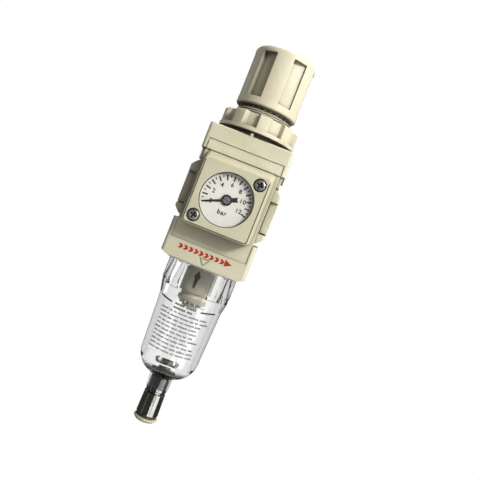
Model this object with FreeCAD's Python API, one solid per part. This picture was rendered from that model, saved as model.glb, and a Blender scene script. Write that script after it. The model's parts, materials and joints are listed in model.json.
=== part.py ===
"""Miniature filter-regulator for compressed air, 1/4 inch ports, built as separate parts.

Frame: origin where the port axis crosses the vertical axis. +X runs from inlet to outlet, +Z is up
towards the adjusting knob, and the pressure gauge faces -Y. Millimetres. Each solid is one file in
parts/, named after the node it becomes. Threads are plain cylinders, apart from the turned ridges on
the bonnet's neck. Rest state: knob pulled up and backed off, no pressure, bowl locked, drain shut.
"""

import FreeCAD
import Part

import math
import os

V = FreeCAD.Vector

# ---------------------------------------------------------------- driving dimensions
RUN = 0.05              # radial clearance of a running fit
WIDTH = 40.0            # across the two port faces
BLOCK_HALF = 18.7       # half width of the body's two square flanges
FRONT_Y = -16.5         # front face of the flanges
BACK_Y = 18.5           # back face of the body
UPPER_Z = (17.5, 28.6)  # upper flange, bottom and top
LOWER_Z = (-30.0, -13.5)  # lower flange, bottom and top
PORT_R = 5.72           # tapping radius of a 1/4 inch pipe thread
PORT_DEPTH = 11.0
CHAMBER_Z = 5.2         # height of the outlet chamber's cross passages

COVER_HALF = 16.6       # front cover plate, half width
COVER_Z = (-21.5, 21.9)
COVER_Y = (-16.2, -14.7)

GAUGE_FACE_Y = -24.2    # front face of the square gauge hood
GAUGE_HALF = 14.3       # half width of that face
GAUGE_DRAFT = 0.8       # how much wider each side is where the hood meets the cover
FACE_GROOVE = (13.55, 13.95)  # the line engraved round the gauge face, inner and outer half width
HOOD_TOP_Z = 17.35
SCREW_AT = 10.3         # gauge screws sit on the diagonal, at +- this
CASE_R = 12.5
CASE_Y = (-22.5, -11.7)
WINDOW_R = 11.5
DIAL_Y = -21.5          # back of the dial plate
SWEEP_DEG = 224.0       # pointer travel, 0 to 12 bar, centred on the top of the dial

NECK_THREAD_R = 12.5    # M25 neck that passes through a panel
NECK_Z = (30.0, 41.0)
NECK_PITCH = 1.0
NUT_Z = (30.6, 38.4)
NUT_FLANGE_R = 17.4
NUT_R = 17.0
NUT_LUGS = 9
COLLAR_R = 13.4         # root of the neck, under the nut

KNOB_R = 13.8
KNOB_Z = (42.5, 68.5)
KNOB_POCKETS = 6
POCKET_DEPTHS = (2.7, 1.3)  # of a finger pocket, at its left and right side
LOCK_TEETH = 24

SKIRT_R = 7.0           # deflector's skirt
ELEMENT_R = 5.7
ELEMENT_END_Z = -43.4
BAFFLE_END_Z = -47.0    # ends of the baffle's fins

BOWL_R = 14.4           # outside radius just under the grip collar
BOWL_NECK_R = 13.4      # the neck inside the body
BOWL_LUG_R = 14.8
BOWL_COLLAR_R = 16.0
BOWL_COLLAR_Z = (-41.6, -30.2)
BOWL_FLOOR_Z = -79.0    # inside
BOWL_END_Z = -81.5      # outside, where the drain boss starts
BOSS_END_Z = -87.6
BOSS_R = 5.2

DRAIN_NECK_R = 3.5      # where the nut holds it
DRAIN_SHANK_R = 4.3     # where it fills the boss
DRAIN_SHOULDER_Z = -79.6
DRAIN_WASHER = 0.6      # thickness
DRAIN_SLEEVE_R = 4.7
DRAIN_END_Z = -100.4
BUTTON_R = 5.3
BUTTON_END_Z = -103.2

STEM_R = 1.5
SEAT_Z = 1.0            # underside of the valve seat
DIAPHRAGM_Z = (22.8, 23.6)
DISC_Z = DIAPHRAGM_Z[0] - 1.2       # underside of the disc below the diaphragm
PAN_Z = DIAPHRAGM_Z[1] + 1.6        # ledge the regulating spring stands on

GEAR_MODULE = 0.16
PINION_TEETH = 12
SECTOR_TEETH = 96
PINION_R = GEAR_MODULE * PINION_TEETH / 2
SECTOR_R = GEAR_MODULE * SECTOR_TEETH / 2
SECTOR_PIVOT_Z = -(PINION_R + SECTOR_R)
SECTOR_REST_DEG = SWEEP_DEG * PINION_TEETH / SECTOR_TEETH / 2
GEAR_Y = (-18.6, -17.2)
SECTOR_TAIL = 2.2       # pivot to link pin
TUBE_R = 9.8            # mean radius of the curved tube
TUBE_Y = (-17.0, -14.0)
TUBE_TIP_DEG = 133.0    # clockwise from the top, seen from the front


# ---------------------------------------------------------------- small helpers
def cyl(r, z0, z1, x=0.0, y=0.0):
    return Part.makeCylinder(r, z1 - z0, V(x, y, z0), V(0, 0, 1))


def cyl_x(r, x0, x1, y=0.0, z=0.0):
    return Part.makeCylinder(r, x1 - x0, V(x0, y, z), V(1, 0, 0))


def cyl_y(r, y0, y1, x=0.0, z=0.0):
    return Part.makeCylinder(r, y1 - y0, V(x, y0, z), V(0, 1, 0))


def ring(r_out, r_in, z0, z1):
    return cyl(r_out, z0, z1).cut(cyl(r_in, z0 - 1, z1 + 1))


def ring_y(r_out, r_in, y0, y1, x=0.0, z=0.0):
    return cyl_y(r_out, y0, y1, x, z).cut(cyl_y(r_in, y0 - 1, y1 + 1, x, z))


def box(x0, x1, y0, y1, z0, z1):
    return Part.makeBox(x1 - x0, y1 - y0, z1 - z0, V(x0, y0, z0))


def rounded_box(x0, x1, y0, y1, z0, z1, r):
    """Box whose four vertical edges are rounded."""
    solid = box(x0, x1, y0, y1, z0, z1)
    upright = [e for e in solid.Edges if abs(e.BoundBox.ZLength - (z1 - z0)) < 1e-6]
    return solid.makeFillet(r, upright)


def turned(*points):
    """Solid of revolution about Z from a closed outline of (radius, z) points."""
    corners = [V(r, 0, z) for r, z in points]
    face = Part.Face(Part.makePolygon(corners + corners[:1]))
    return face.revolve(V(0, 0, 0), V(0, 0, 1), 360)


def torus(r_ring, r_wire, z):
    return Part.makeTorus(r_ring, r_wire, V(0, 0, z), V(0, 0, 1))


def prism_z(points, z0, z1):
    """Upright prism over a closed outline of (x, y) points."""
    corners = [V(x, y, z0) for x, y in points]
    face = Part.Face(Part.makePolygon(corners + corners[:1]))
    return face.extrude(V(0, 0, z1 - z0))


def prism_y(points, y0, y1):
    """Prism along Y over a closed outline of (x, z) points."""
    corners = [V(x, y0, z) for x, z in points]
    face = Part.Face(Part.makePolygon(corners + corners[:1]))
    return face.extrude(V(0, y1 - y0, 0))


def turn(shape, degrees, axis=None, at=None):
    """Copy of shape turned about Z, or about another axis through at."""
    copy = shape.copy()
    copy.rotate(at or V(0, 0, 0), axis or V(0, 0, 1), degrees)
    return copy


def hexagon(across_flats, z0, z1):
    r = across_flats / math.sqrt(3)
    return prism_z([(r * math.cos(a), r * math.sin(a)) for a in six_angles()], z0, z1)


def six_angles():
    return [math.radians(60 * k) for k in range(6)]


def around(shape, count, first=0.0):
    """count copies of shape, evenly spaced about Z."""
    return [turn(shape, first + 360.0 * k / count) for k in range(count)]


def front_sector(r, half_deg, z0, z1):
    """Wedge of a cylinder, centred on the -Y side."""
    a = math.radians(half_deg)
    reach = 2 * r
    wedge = prism_z([(0, 0), (-reach * math.tan(a), -reach), (reach * math.tan(a), -reach)], z0, z1)
    return wedge.common(cyl(r, z0, z1))


def coil(r_mean, r_wire, z0, z1, turns):
    """Round-wire compression spring that fills z0 to z1."""
    height = z1 - z0 - 2 * r_wire
    pitch = height / turns
    start = V(r_mean, 0, z0 + r_wire)
    path = Part.makeHelix(pitch, height, r_mean)
    path.translate(V(0, 0, z0 + r_wire))
    wire = Part.Wire([Part.makeCircle(r_wire, start, V(0, 2 * math.pi * r_mean, pitch))])
    return Part.Wire(path).makePipeShell([wire], True, True)


def fuse(shapes):
    first, rest = shapes[0], shapes[1:]
    return first.multiFuse(rest).removeSplitter() if rest else first


# ---------------------------------------------------------------- body, bonnet and covers
def port_boss(side):
    """The bevelled pad round one port; side is -1 for the inlet, +1 for the outlet."""
    half = WIDTH / 2
    outline = [(14.0, -12.0), (17.2, -12.0), (18.7, -10.6), (half, -9.2),
               (half, 9.2), (18.7, 10.6), (17.2, 12.0), (14.0, 12.0)]
    boss = prism_y(outline, -15.3, 14.5)
    rim = [e for e in boss.Edges
           if abs(e.BoundBox.XMin - half) < 1e-6 and e.BoundBox.ZLength > 10]
    boss = boss.makeChamfer(0.8, rim)
    shoulder = box(14.0, 17.9, -15.3, 14.5, 12.6, UPPER_Z[0] + 0.5)
    solid = boss.fuse(shoulder).cut(clamp_recess(half))
    return solid if side > 0 else turn(solid, 180).mirror(V(0, 0, 0), V(0, 1, 0))


def clamp_recess(half):
    """Shallow recess at the front of a port pad, with a deeper groove along two of its sides."""
    x0, z0, z1 = 16.2, -7.7, 6.6
    pocket = box(x0, half + 1, -17.0, -13.9, z0, z1)
    side_groove = box(x0, x0 + 0.7, -17.0, -11.5, z0, z1)
    foot_groove = box(x0, half + 1, -17.0, -11.5, z0, z0 + 0.55)
    return fuse([pocket, side_groove, foot_groove])


def bayonet_entries():
    """Four slots in the body's mouth that the bowl's lugs pass through, half way between the locks."""
    slot = front_sector(BOWL_LUG_R + 0.2, 15.0, LOWER_Z[0] - 1, -26.5)
    return around(slot, 4, 45.0)


def flange(z0, z1, rim_z):
    """One of the body's two wide blocks, with a small chamfer round the rim at rim_z."""
    solid = rounded_box(-BLOCK_HALF, BLOCK_HALF, FRONT_Y, BACK_Y, z0, z1, 1.6)
    rim = [e for e in solid.Edges
           if abs(e.BoundBox.ZMin - rim_z) < 1e-6 and abs(e.BoundBox.ZMax - rim_z) < 1e-6]
    return solid.makeChamfer(0.5, rim)


def lower_bevels():
    """The shallow bevels along the lower flange's two bottom edges."""
    bottom = LOWER_Z[0]
    wedge = prism_y([(14.2, bottom), (19.5, bottom + 2.1), (19.5, bottom - 1), (14.2, bottom - 1)], -20, 20)
    return [wedge, turn(wedge, 180)]


def body_hollows():
    """Every bore, passage and seat cut into the body."""
    side_z = CHAMBER_Z + 0.4
    seat_half, seat_low, seat_top = COVER_HALF + 0.1, COVER_Z[0] - 0.1, COVER_Z[1] + 0.1
    seat = box(-seat_half, seat_half, FRONT_Y - 1, COVER_Y[1], seat_low, seat_top)
    diaphragm_z = DIAPHRAGM_Z[0]
    cuts = [
        seat,
        cyl(15.5, diaphragm_z, UPPER_Z[1] + 1),                  # bonnet thread
        cyl(12.6, 18.0, diaphragm_z + 1),                        # space under the diaphragm
        cyl(STEM_R + RUN, 8.0, 18.5),                            # stem guide
        cyl(0.8, 6.0, 18.5, x=8.0),                              # sensing hole, outlet to diaphragm
        cyl(5.6, SEAT_Z + 2.0, 9.0),                             # outlet chamber
        cyl(3.0, SEAT_Z - 1, SEAT_Z + 3),                        # valve seat
        cyl(5.2, LOWER_Z[0] - 1, SEAT_Z),                        # valve chamber
        cyl_x(PORT_R, -WIDTH / 2 - 1, -WIDTH / 2 + PORT_DEPTH),  # inlet
        cyl_x(PORT_R, WIDTH / 2 - PORT_DEPTH, WIDTH / 2 + 1),    # outlet
        cyl_x(2.3, 0, WIDTH / 2 - PORT_DEPTH + 1.5, z=side_z),   # outlet chamber to outlet port
        cyl(2.6, -20.0, 0, x=-10.6),                             # inlet down to the filter
        cyl(BOWL_NECK_R + 0.2, -22.0, -17.8),                    # bowl seal bore
        cyl(BOWL_LUG_R + 0.2, -26.5, -22.7),                     # bayonet groove
        cyl(BOWL_NECK_R + 0.2, LOWER_Z[0] - 1, -21.0),           # mouth
        cyl_y(CASE_R + 0.3, FRONT_Y - 1, -11.5),                 # gauge case recess
        cyl_y(3.3, -12.0, -7.4, z=CHAMBER_Z),                    # gauge socket
        cyl_y(0.7, -8.0, -4.0, z=CHAMBER_Z),                     # gauge pressure hole
        cyl_y(4.3, 9.5, BACK_Y + 1, z=CHAMBER_Z),                # rear gauge port
        cyl_y(1.5, 4.0, 10.0, z=CHAMBER_Z),
    ]
    cuts += [cyl_y(1.3, FRONT_Y, -9.0, s * SCREW_AT, s * SCREW_AT) for s in (-1, 1)]
    return fuse(cuts + bayonet_entries())


def make_body():
    upper = flange(UPPER_Z[0], UPPER_Z[1], UPPER_Z[1])
    lower = flange(LOWER_Z[0], LOWER_Z[1], LOWER_Z[0]).cut(fuse(lower_bevels()))
    waist = rounded_box(-15.7, 15.7, FRONT_Y + 1.0, BACK_Y - 0.8, LOWER_Z[1] - 2, UPPER_Z[0] + 2, 1.0)
    panel_pip = box(-1.2, -0.1, FRONT_Y + 0.1, FRONT_Y + 0.8, UPPER_Z[1] - 1, UPPER_Z[1] + 1.1)
    solid = fuse([upper, lower, waist, port_boss(-1), port_boss(1), panel_pip])
    return solid.cut(body_hollows()).cut(fuse([alignment_mark(), back_panel()]))


def back_panel():
    """Shallow recess in the waist's back, with two ribs and a raised ring round the rear gauge port."""
    face = BACK_Y - 0.8
    half, low, top = 12.6, -10.6, 16.4
    field = box(-half, half, face - 0.5, face + 1, low, top)
    corners = [e for e in field.Edges if abs(e.BoundBox.YLength - 1.5) < 1e-6]
    field = field.makeFillet(1.6, corners)
    raised = [cyl_y(6.4, face - 1, face + 2, z=CHAMBER_Z)]
    raised += [box(-half - 1, half + 1, face - 1, face + 2, z, z + 0.8) for z in (-6.4, -2.6)]
    return field.cut(fuse(raised))


def alignment_mark():
    """Engraved arrow head on the lower flange that the bowl's arrow points to when it is locked."""
    outer = prism_y([(-2.4, -25.6), (2.4, -25.6), (0, -29.2)], FRONT_Y - 1, FRONT_Y + 0.3)
    inner = prism_y([(-1.5, -26.1), (1.5, -26.1), (0, -28.4)], FRONT_Y - 1, FRONT_Y + 0.3)
    return outer.cut(inner)


def make_front_cover():
    x, (z0, z1), (y0, y1) = COVER_HALF, COVER_Z, COVER_Y
    plate = box(-x, x, y0, y1, z0, z1)
    corners = [e for e in plate.Edges if abs(e.BoundBox.YLength - (y1 - y0)) < 1e-6]
    plate = plate.makeFillet(0.6, corners)
    holes = [cyl_y(CASE_R + 0.15, y0 - 1, y1 + 1)]
    holes += [cyl_y(1.45, y0 - 1, y1 + 1, s * SCREW_AT, s * SCREW_AT) for s in (-1, 1)]
    return fuse([plate, brow()]).cut(fuse(holes))


def brow():
    """Strip above the gauge hood that leans forward, down to the hood's top edge."""
    y, half = COVER_Y[0], COVER_HALF - 0.3
    low, top, lean = HOOD_TOP_Z + 0.1, COVER_Z[1] - 0.3, 0.65
    profile = [V(-half, y + 0.2, top), V(-half, y, top), V(-half, y - lean, low), V(-half, y + 0.2, low)]
    return Part.Face(Part.makePolygon(profile + profile[:1])).extrude(V(2 * half, 0, 0))


def neck_ridges():
    """Outline of the neck's ridges, from its top down, one ridge per pitch."""
    points = []
    z = NECK_Z[1]
    while z - NECK_PITCH >= NECK_Z[0] - 1e-6:
        points += [(NECK_THREAD_R - 0.5, z), (NECK_THREAD_R, z - 0.4), (NECK_THREAD_R, z - 0.55)]
        z -= NECK_PITCH
    return points + [(NECK_THREAD_R - 0.5, z)]


def make_bonnet():
    """Screws down on the diaphragm; its neck takes the panel nut and its sleeve carries the knob."""
    spring_bore, slide_r = 8.5, 10.1
    top, ceiling = 52.0, 49.0
    foot, rim_z = DIAPHRAGM_Z[1], UPPER_Z[1]
    outline = [(12.9, foot), (15.45, foot), (15.45, rim_z), (COLLAR_R, rim_z + 0.6),
               (COLLAR_R, NECK_Z[0])]
    outline += list(reversed(neck_ridges()))
    outline += [(slide_r, NECK_Z[1]), (slide_r, top - 0.6), (slide_r - 0.6, top), (4.2, top),
                (4.2, ceiling), (spring_bore, ceiling), (spring_bore, 29.6), (12.9, 26.8)]
    shell = turned(*outline)
    key_block = box(-9, 9, -9, 9, 34.0, ceiling).common(cyl(8.8, 33, 50))
    keys = key_block.cut(box(-10, 10, -7.45, 7.45, 33.0, ceiling + 1))
    tooth = front_sector(10.8, 2.5, NECK_Z[1] - 0.2, NECK_Z[1] + 1.3).cut(cyl(9.6, 30, 50))
    vent = cyl_y(0.3, -14.5, -8.0, z=29.6)
    return fuse([shell, keys] + around(tooth, LOCK_TEETH)).cut(vent)


def nut_slot(z0, z1):
    """One gap between two lugs: a flat floor and two leaning walls."""
    floor_y, floor_half, mouth_half = -14.85, 2.3, 3.9
    mouth_y = -NUT_R - 0.4
    outline = [(-mouth_half, mouth_y), (-floor_half, floor_y), (floor_half, floor_y), (mouth_half, mouth_y)]
    slot = prism_z(outline, z0, z1)
    corners = [e for e in slot.Edges
               if abs(e.BoundBox.YMin - floor_y) < 1e-6 and e.BoundBox.ZLength > 1]
    return slot.makeFillet(0.7, corners)


def make_panel_nut():
    z0, z1 = NUT_Z
    bore = NECK_THREAD_R + RUN
    flange_top = z0 + 1.6
    nut = turned((bore, z0), (NUT_FLANGE_R, z0), (NUT_FLANGE_R, flange_top), (NUT_R, flange_top),
                 (NUT_R, z1 - 0.5), (NUT_R - 0.5, z1), (bore, z1))
    slot = nut_slot(flange_top, z1 + 1)
    lead_in = turned((bore - 1, z1 + 0.1), (bore - 1, z1 - 0.7), (bore, z1 - 0.7), (bore + 0.8, z1 + 0.1))
    return nut.cut(fuse(around(slot, NUT_LUGS, -12.0))).cut(lead_in)


# ---------------------------------------------------------------- adjusting drive
def knob_pocket():
    """One finger pocket. Its floor leans, so that the pocket is deeper on its left than on its right."""
    deep, shallow = POCKET_DEPTHS
    outline = [(-3.3, -KNOB_R - 1), (-3.3, deep - KNOB_R), (3.3, shallow - KNOB_R), (3.3, -KNOB_R - 1)]
    return prism_z(outline, 45.7, 65.6)


def make_knob():
    """Cup with six finger pockets outside; inside, a hexagon socket and the notches that lock it."""
    z0, z1 = KNOB_Z
    inner = 10.4
    shell = turned((inner, z0), (KNOB_R - 0.5, z0), (KNOB_R, z0 + 0.5), (KNOB_R, z1), (0, z1),
                   (0, z1 - 2.4), (inner, z1 - 2.4))
    crown = [e for e in shell.Edges if abs(e.BoundBox.ZMin - z1) < 1e-6 and e.BoundBox.XLength > 20]
    shell = shell.makeFillet(2.2, crown)
    boss = cyl(6.2, 54.0, z1 - 2.0)
    rib = box(5.5, 10.6, -0.6, 0.6, 56.0, z1 - 2.0)
    shell = fuse([shell, boss] + around(rib, 6))
    notch = front_sector(11.0, 4.2, z0 - 1, z0 + 3.4)
    dish = cyl(10.4, z1 - 0.5, z1 + 1)
    cuts = around(knob_pocket(), KNOB_POCKETS, 31.5) + around(notch, LOCK_TEETH)
    cuts += [hexagon(7.3, 53.0, 66.0), dish]
    return shell.cut(fuse(cuts))


def make_adjusting_screw():
    """Turns without rising; its collar bears up on the bonnet's ceiling."""
    tip = turned((0, 33.4), (3.3, 33.4), (3.95, 34.0), (0, 34.0))
    thread = cyl(3.95, 34.0, 46.4)
    collar = cyl(6.4, 46.4, 48.4)
    journal = cyl(4.2 - RUN, 48.4, 52.4)
    drive = hexagon(7.0, 52.4, 64.0)
    return fuse([tip, thread, collar, journal, drive])


def make_thrust_washer():
    return ring(6.4, 4.2, 48.4, 49.0)


def make_spring_seat():
    """Nut on the adjusting screw; its two flats keep it from turning."""
    disc = fuse([cyl(8.3, 43.0, 46.2), cyl(5.2, 41.8, 43.0)])
    flats = box(-9, 9, -7.3, 7.3, 41, 47)
    return disc.common(flats).cut(cyl(4.0, 41, 47))


def make_regulating_spring():
    return coil(6.35, 0.9, PAN_Z, 43.0, 5.0)


def make_spring_pan():
    foot = DIAPHRAGM_Z[1]
    return turned((2.6, foot), (9.3, foot), (9.3, PAN_Z + 0.6), (8.7, PAN_Z + 0.6), (8.7, PAN_Z),
                  (5.2, PAN_Z), (5.2, PAN_Z + 1.2), (2.6, PAN_Z + 1.2))


def make_diaphragm():
    """Rubber disc, clamped at its rim and at its middle, with one rolled fold between."""
    z0, z1 = DIAPHRAGM_Z
    fold_at, fold_r = 11.1, 1.55
    flat = ring(15.3, 2.6, z0, z1)
    arch = Part.makeTorus(fold_at, fold_r, V(0, 0, z0), V(0, 0, 1)).cut(cyl(16, z0 - 3, z0))
    groove = Part.makeTorus(fold_at, fold_r - (z1 - z0), V(0, 0, z0), V(0, 0, 1))
    return fuse([flat, arch]).cut(groove)


def make_diaphragm_disc():
    return ring(9.2, 2.6, DISC_Z, DIAPHRAGM_Z[0])


def make_relief_rivet():
    """Holds pan, diaphragm and disc together; its hole is shut by the valve stem's tip."""
    low, high = DISC_Z, PAN_Z + 1.2
    return turned((0.9, low - 0.6), (3.6, low - 0.6), (3.6, low), (2.6, low), (2.6, high), (3.6, high),
                  (3.6, high + 0.6), (0.9, high + 0.6))


# ---------------------------------------------------------------- valve
def make_valve_stem():
    """Stem and poppet backing in one turned piece; its tip closes the relief rivet's hole."""
    tip = DISC_Z - 0.6
    return turned((0, -13.0), (STEM_R - 0.3, -13.0), (STEM_R, -12.7), (STEM_R, -4.0), (4.4, -4.0),
                  (4.4, -0.8), (STEM_R, -0.8), (STEM_R, tip - 0.5), (STEM_R - 0.4, tip), (0, tip))


def make_valve_seal():
    return turned((STEM_R, -0.8), (4.1, -0.8), (4.1, 0.7), (3.8, SEAT_Z), (STEM_R, SEAT_Z))


def make_valve_spring():
    return coil(3.1, 0.35, -10.0, -4.0, 4.0)


def make_valve_guide():
    """Screws into the body, guides the stem's tail and passes filtered air round it."""
    plug = cyl(5.15, -17.8, -10.0)
    flange = cyl(7.4, -19.8, -17.8)
    seal_groove = ring(6.7, 5.5, -18.95, -17.7)
    air = cyl(0.95, -21, -9, y=-3.6)
    cuts = [cyl(STEM_R + RUN, -14.6, -9.0), cyl(2.05, -21.0, -15.4), seal_groove] + around(air, 6)
    return fuse([plug, flange]).cut(fuse(cuts))


def make_guide_seal():
    return torus(6.1, 0.55, -18.35)


# ---------------------------------------------------------------- filter
def make_deflector():
    """Louvred disc that makes the incoming air spin, with a skirt down inside the bowl's collar."""
    hub = ring(10.2, 4.75, -21.8, -19.8)
    skirt = ring(SKIRT_R, SKIRT_R - 0.8, -41.0, -21.8)
    louvre = turn(box(-1.0, 1.0, -11.0, -7.7, -24, -17), 40, V(0, 1, 0), V(0, 0, -20.8))
    return fuse([hub, skirt]).cut(fuse(around(louvre, 12)))


def make_filter_element():
    return ring(ELEMENT_R, ELEMENT_R - 2.3, ELEMENT_END_Z, -21.8)


def make_baffle():
    top, lip_r = ELEMENT_END_Z, ELEMENT_R + 0.7
    disc = turned((2.1, top - 2.0), (lip_r - 0.8, top - 2.0), (lip_r, top - 1.2), (lip_r, top + 0.6),
                  (ELEMENT_R + 0.1, top + 0.6), (ELEMENT_R + 0.1, top), (2.1, top))
    fin = box(2.5, 5.0, -0.5, 0.5, BAFFLE_END_Z, top - 1.9)
    return fuse([disc] + around(fin, 4))


def make_element_rod():
    """Stud that clamps deflector, element and baffle up against the valve guide."""
    rod = cyl(2.0, BAFFLE_END_Z - 0.1, -15.6)
    head = hexagon(6.0, BAFFLE_END_Z - 2.0, BAFFLE_END_Z)
    return fuse([rod, head])


# ---------------------------------------------------------------- bowl
def bowl_profile():
    """Half section of the bowl as one face, with arcs at its round bottom."""
    low_r, low_z = 13.3, -71.0
    arc_out = Part.Arc(V(low_r, 0, low_z), V(10.7, 0, -78.4), V(5.8, 0, BOWL_END_Z))
    in_r, in_z = 11.2, -74.0
    arc_in = Part.Arc(V(9.0, 0, BOWL_FLOOR_Z), V(10.7, 0, -77.6), V(in_r, 0, in_z))
    collar_low, collar_top = BOWL_COLLAR_Z
    outside = [V(10.6, 0, -18.2), V(BOWL_NECK_R, 0, -18.2), V(BOWL_NECK_R, 0, collar_top),
               V(BOWL_COLLAR_R - 0.4, 0, collar_top), V(BOWL_COLLAR_R, 0, collar_top - 0.4),
               V(BOWL_COLLAR_R, 0, collar_low + 2.4), V(BOWL_R, 0, -47.0), V(low_r, 0, low_z)]
    hole_r, wide_r, shoulder_z = DRAIN_NECK_R + 0.1, DRAIN_SHANK_R + 0.1, DRAIN_SHOULDER_Z + 0.1
    boss = [V(5.8, 0, BOWL_END_Z), V(BOSS_R, 0, -82.3), V(BOSS_R - 0.2, 0, BOSS_END_Z),
            V(wide_r, 0, BOSS_END_Z), V(wide_r, 0, shoulder_z), V(hole_r, 0, shoulder_z),
            V(hole_r, 0, BOWL_FLOOR_Z), V(9.0, 0, BOWL_FLOOR_Z)]
    inside = [V(in_r, 0, in_z), V(12.1, 0, -46.0), V(11.8, 0, -40.0), V(10.6, 0, -31.0), V(10.6, 0, -18.2)]
    edges = [arc_out.toShape(), arc_in.toShape()]
    for chain in (outside, boss, inside):
        edges += [Part.LineSegment(a, b).toShape() for a, b in zip(chain, chain[1:])]
    return Part.Face(Part.Wire(Part.__sortEdges__(edges)))


def grip_grooves():
    """Six grooves down the collar that leave its grip pads; the front and back pads are the wide ones."""
    low, top = BOWL_COLLAR_Z
    groove = front_sector(18.0, 13.5, low, top + 1).cut(cyl(14.7, low - 1, top + 2))
    return [turn(groove, angle) for angle in (37.5, 90, 142.5, 217.5, 270, 322.5)]


def bowl_arrow():
    """Raised arrow on the front pad, pointing up at the body's engraved mark."""
    right = [(0, -31.0), (1.6, -33.6), (0.9, -34.6), (0.5, -38.8)]
    left = [(-x, z) for x, z in reversed(right[1:])]
    return prism_y(right + left, -BOWL_COLLAR_R - 0.4, -BOWL_COLLAR_R + 1.0)


def make_bowl():
    shell = bowl_profile().revolve(V(0, 0, 0), V(0, 0, 1), 360)
    lug = front_sector(BOWL_LUG_R, 12.0, -26.3, -23.3).cut(cyl(12.0, -30, -20))
    seal_groove = ring(14.0, 12.0, -21.0, -19.2)
    return fuse([shell] + around(lug, 4)).cut(fuse(grip_grooves() + [seal_groove])).fuse(bowl_arrow())


def make_bowl_seal():
    return torus(12.85, 0.74, -20.1)


# ---------------------------------------------------------------- drain
def make_drain_body():
    """Plated sleeve: its neck goes up through the bowl's boss, and its skirt holds the button."""
    top, flare = -76.7, DRAIN_SLEEVE_R + 0.3
    waist_r = DRAIN_SLEEVE_R - 0.6
    return turned((1.9, top), (DRAIN_NECK_R, top), (DRAIN_NECK_R, DRAIN_SHOULDER_Z),
                  (DRAIN_SHANK_R, DRAIN_SHOULDER_Z), (DRAIN_SHANK_R, BOSS_END_Z),
                  (DRAIN_SLEEVE_R, BOSS_END_Z), (DRAIN_SLEEVE_R, -88.8), (waist_r, -89.1),
                  (waist_r, -89.9), (DRAIN_SLEEVE_R, -90.2), (flare, DRAIN_END_Z + 0.3),
                  (flare - 0.3, DRAIN_END_Z), (3.5, DRAIN_END_Z), (3.5, -90.8), (1.9, -90.8))


def make_drain_washer():
    return ring(5.4, DRAIN_NECK_R + 0.02, BOWL_FLOOR_Z, BOWL_FLOOR_Z + DRAIN_WASHER)


def make_drain_nut():
    z0 = BOWL_FLOOR_Z + DRAIN_WASHER
    return hexagon(9.0, z0, z0 + 1.6).cut(cyl(DRAIN_NECK_R + 0.02, z0 - 1, z0 + 4))


def make_drain_stem():
    return turned((0, -100.6), (1.1, -100.6), (1.1, -75.9), (2.9, -75.9), (2.9, -75.4), (2.3, -74.8),
                  (0, -74.8))


def make_drain_seal():
    return torus(2.3, 0.4, -76.3)


def make_drain_spring():
    return coil(2.45, 0.3, -99.0, -90.8, 6.0)


def make_drain_button():
    """Pushed up to let condensate out, which leaves by the holes round the stem."""
    top = -99.0
    rim_z = DRAIN_END_Z - 1.1
    plug = turned((0, BUTTON_END_Z), (BUTTON_R - 0.8, BUTTON_END_Z), (BUTTON_R, BUTTON_END_Z + 0.8),
                  (BUTTON_R, rim_z - 0.3), (BUTTON_R - 0.3, rim_z), (3.3, rim_z), (3.3, top), (0, top))
    hole = cyl(0.7, BUTTON_END_Z - 1, -96, y=-2.2)
    stem_seat = cyl(1.1, -100.6, -96)
    return plug.cut(fuse(around(hole, 4) + [stem_seat]))


# ---------------------------------------------------------------- pressure gauge
def hood_block():
    """The hood before its holes: drafted sides, sloping top, rounded front."""
    w, y0, y1 = GAUGE_HALF, GAUGE_FACE_Y, COVER_Y[0]
    wide, low, slope_z = w + GAUGE_DRAFT, -GAUGE_HALF, 13.9
    profile = [V(-wide, y0, low), V(-wide, y0, slope_z), V(-wide, y1, HOOD_TOP_Z), V(-wide, y1, low)]
    block = Part.Face(Part.makePolygon(profile + profile[:1])).extrude(V(2 * wide, 0, 0))
    beside = [(w, y0), (wide, y1), (wide + 2, y1), (wide + 2, y0 - 1), (w, y0 - 1)]
    side = prism_z(beside, low - 1, HOOD_TOP_Z + 1)
    block = block.cut(side).cut(side.mirror(V(0, 0, 0), V(1, 0, 0)))
    corners = [e for e in block.Edges if e.BoundBox.YLength > abs(y1 - y0) - 0.01]
    block = block.makeFillet(1.7, corners)
    front = [e for e in block.Edges if e.BoundBox.YMax < y0 + 1e-4]
    return block.makeChamfer(0.25, front)


def rounded_foot(block, r):
    """A block with its two lower corners rounded, as seen from the front."""
    foot = [e for e in block.Edges
            if e.BoundBox.ZMax < block.BoundBox.ZMin + 1e-6 and e.BoundBox.XLength < 1e-6]
    return block.makeFillet(r, foot)


def face_groove():
    """Fine line along the sides and foot of the gauge face, open at the top."""
    inner, outer = FACE_GROOVE
    y0, y1, top = GAUGE_FACE_Y - 1, GAUGE_FACE_Y + 0.55, 12.4
    around_groove = rounded_foot(box(-outer, outer, y0, y1, -outer, top), 1.4)
    return around_groove.cut(rounded_foot(box(-inner, inner, y0, y1, -inner, top + 1), 1.2))


def make_gauge_hood():
    """Square cover of the gauge, open to its window."""
    y0, y1 = GAUGE_FACE_Y, COVER_Y[0]
    cuts = [cyl_y(WINDOW_R - 0.3, y0 - 1, y1 + 1), cyl_y(WINDOW_R + 0.05, y0 + 0.6, y1 + 1),
            cyl_y(CASE_R + 0.1, CASE_Y[0], y1 + 1)]
    for s in (-1, 1):
        cuts.append(cyl_y(2.75, y0 - 1, y0 + 1.5, s * SCREW_AT, s * SCREW_AT))
        cuts.append(cyl_y(1.45, y0 - 1, y1 + 1, s * SCREW_AT, s * SCREW_AT))
    return hood_block().cut(fuse(cuts)).cut(face_groove())


def make_gauge_window():
    return cyl_y(WINDOW_R, GAUGE_FACE_Y + 0.6, CASE_Y[0])


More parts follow.
